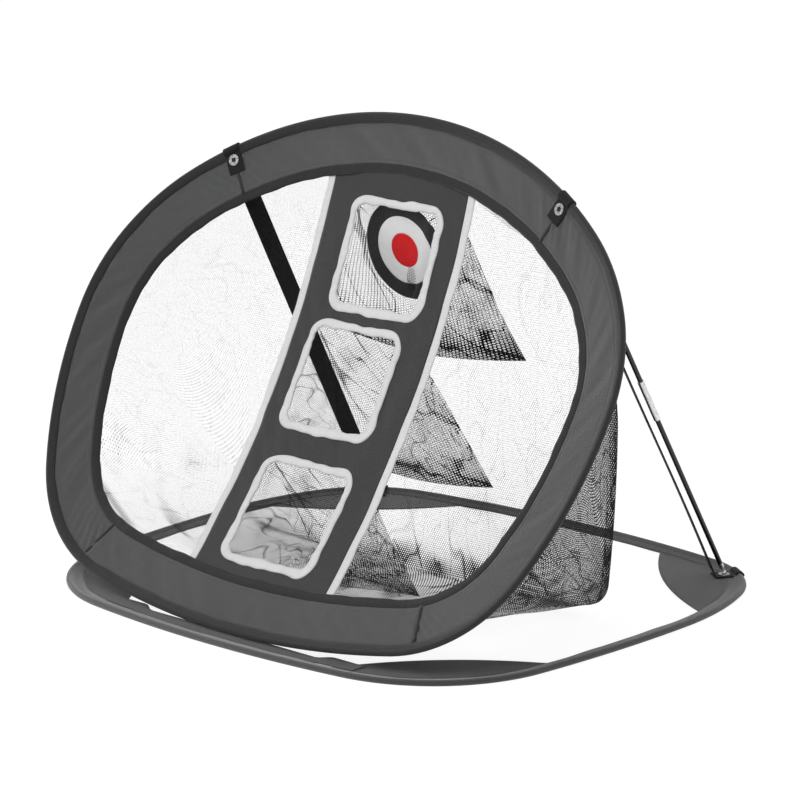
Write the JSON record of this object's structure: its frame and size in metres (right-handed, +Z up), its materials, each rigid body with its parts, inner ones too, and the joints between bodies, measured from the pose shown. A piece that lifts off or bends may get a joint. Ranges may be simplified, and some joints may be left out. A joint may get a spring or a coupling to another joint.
{
  "type": "golf chipping net",
  "caption": "Free-standing pop-up golf chipping net: leaning sprung hoop with a windowed target panel and net bag, flat base hoop, side poles and straps.",
  "frame": {"origin": "on the ground, midway between the base hoop's front, rear and side edges", "axes": "+Z up, the ball arrives from -Y and lands towards +Y, X runs across the net and the net is symmetric about X = 0"},
  "size_m": [0.832, 0.658, 0.5604],
  "materials": {
    "spring_wire": "smooth spring wire",
    "crimp_sleeve": "satin",
    "sleeve_fabric": "matt woven polyester",
    "band_fabric": "matt woven nylon",
    "binding_tape": "ribbed tape",
    "panel_fabric": "matt woven nylon",
    "edge_tape": "ribbed tape",
    "window_tape": "ribbed tape",
    "target_print_black": "printed",
    "target_print_grey": "printed",
    "target_print_red": "printed",
    "net_mesh": "open knitted mesh",
    "gusset_fabric": "matt woven nylon",
    "webbing": "ribbed webbing",
    "grommet_metal": "bright, a little crinkled",
    "pole_rod": "glass-fibre rod, semi-gloss",
    "pole_ferrule": "satin",
    "pole_tip": "satin",
    "shock_cord": "elastic cord"
  },
  "bodies": {
    "base": {"base_wire": "spring_wire", "base_wire_crimp": "crimp_sleeve", "base_sleeve": "sleeve_fabric", "base_tab_left": "webbing", "base_grommet_left": "grommet_metal", "base_tab_right": "webbing", "base_grommet_right": "grommet_metal", "base_gusset_rear_left": "gusset_fabric", "base_gusset_front_left": "gusset_fabric", "base_gusset_rear_right": "gusset_fabric", "base_gusset_front_right": "gusset_fabric", "hinge_strip": "gusset_fabric", "strap_left": "webbing", "strap_right": "webbing"},
    "front": {"front_wire": "spring_wire", "front_wire_crimp": "crimp_sleeve", "front_sleeve": "sleeve_fabric", "front_tab_left": "webbing", "front_grommet_left": "grommet_metal", "front_tab_right": "webbing", "front_grommet_right": "grommet_metal", "band_bottom": "band_fabric", "band_right": "band_fabric", "band_top": "band_fabric", "band_left": "band_fabric", "inner_binding": "binding_tape", "panel": "panel_fabric", "panel_edge_left": "edge_tape", "panel_edge_right": "edge_tape", "window_frame_top": "window_tape", "window_frame_middle": "window_tape", "window_frame_bottom": "window_tape", "pocket_net_top": "net_mesh", "pocket_net_middle": "net_mesh", "pocket_net_bottom": "net_mesh", "target_black": "target_print_black", "target_grey": "target_print_grey", "target_red": "target_print_red", "net_bag": "net_mesh"},
    "pole_low_left": {"pole_tip_low_left": "pole_tip", "pole_rod_low_left": "pole_rod", "pole_ferrule_left": "pole_ferrule", "shock_cord_left": "shock_cord"},
    "pole_low_right": {"pole_tip_low_right": "pole_tip", "pole_rod_low_right": "pole_rod", "pole_ferrule_right": "pole_ferrule", "shock_cord_right": "shock_cord"},
    "pole_top_left": {"pole_rod_top_left": "pole_rod", "pole_tip_top_left": "pole_tip"},
    "pole_top_right": {"pole_rod_top_right": "pole_rod", "pole_tip_top_right": "pole_tip"}
  },
  "joints": [
    {"name": "front_fold", "type": "hinge", "parent": "base", "child": "front", "pos_m": [0, -0.291, 0.0066], "axis": [1, 0, 0], "range_deg": [-48, 0], "deforming": ["net_bag", "pocket_net_top", "pocket_net_middle", "pocket_net_bottom", "strap_left", "strap_right"]},
    {"name": "pole_swing_left", "type": "hinge", "parent": "base", "child": "pole_low_left", "pos_m": [-0.28092, 0.27028, 0.0064], "axis": [1, 0, 0], "range_deg": [-91.5, 0]},
    {"name": "pole_pull_left", "type": "slide", "parent": "pole_low_left", "child": "pole_top_left", "axis": [0.0503, -0.5036, 0.8625], "range_m": [0, 0.027]},
    {"name": "pole_swing_right", "type": "hinge", "parent": "base", "child": "pole_low_right", "pos_m": [0.28092, 0.27028, 0.0064], "axis": [1, 0, 0], "range_deg": [-91.5, 0]},
    {"name": "pole_pull_right", "type": "slide", "parent": "pole_low_right", "child": "pole_top_right", "axis": [-0.0503, -0.5036, 0.8625], "range_m": [0, 0.027]}
  ],
  "couplings": [
    {"joint": "pole_swing_left", "follows": "front_fold", "ratio": 1.9},
    {"joint": "pole_pull_left", "follows": "front_fold", "m_per_rad": -0.0318},
    {"joint": "pole_swing_right", "follows": "front_fold", "ratio": 1.9},
    {"joint": "pole_pull_right", "follows": "front_fold", "m_per_rad": -0.0318}
  ]
}
